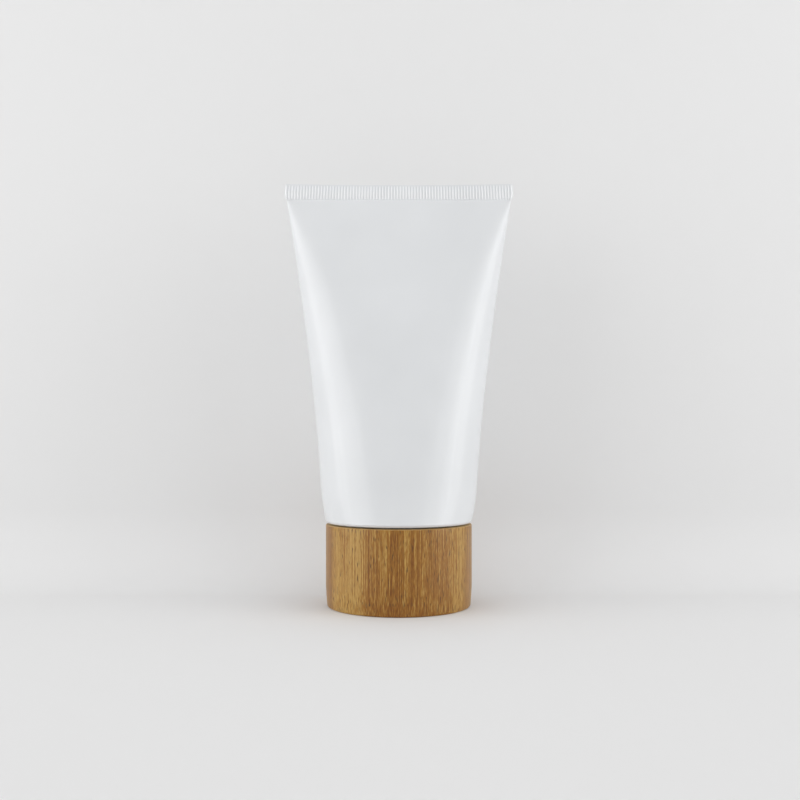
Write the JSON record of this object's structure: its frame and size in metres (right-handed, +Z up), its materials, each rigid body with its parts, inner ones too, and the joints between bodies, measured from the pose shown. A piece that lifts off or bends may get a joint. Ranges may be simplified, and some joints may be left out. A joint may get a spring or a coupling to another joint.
{
  "type": "cosmetic squeeze tube",
  "caption": "Plump white plastic squeeze tube with a ribbed flat seal, standing on a turned wooden screw cap that unscrews from its neck.",
  "frame": {"origin": "centre of the cap's closed flat end, which the tube stands on", "axes": "+Z up along the tube towards its sealed end, +X along the width of the flat seal, -Y the face that the picture shows"},
  "size_m": [0.0786, 0.05, 0.1445],
  "materials": {
    "sleeve_plastic": "satin",
    "shoulder_plastic": "satin",
    "cream_fill": "satin",
    "turned_wood": "satin",
    "insert_plastic": "satin",
    "disc_foam": "matte"
  },
  "bodies": {
    "cap": {"cap_shell": "turned_wood", "cap_insert": "insert_plastic"},
    "disc": {"sealing_disc": "disc_foam"},
    "tube": {"sleeve": "sleeve_plastic", "shoulder": "shoulder_plastic", "cream": "cream_fill"}
  },
  "joints": [
    {"name": "tube_turn", "type": "hinge", "parent": "cap", "child": "disc", "pos_m": [0, 0, 0.0052], "axis": [0, 0, 1], "range_deg": [0, 720]},
    {"name": "tube_lift", "type": "slide", "parent": "disc", "child": "tube", "axis": [0, 0, 1], "range_m": [0, 0.0101]}
  ],
  "couplings": [
    {"joint": "tube_lift", "follows": "tube_turn", "m_per_rad": 0.00079577}
  ]
}
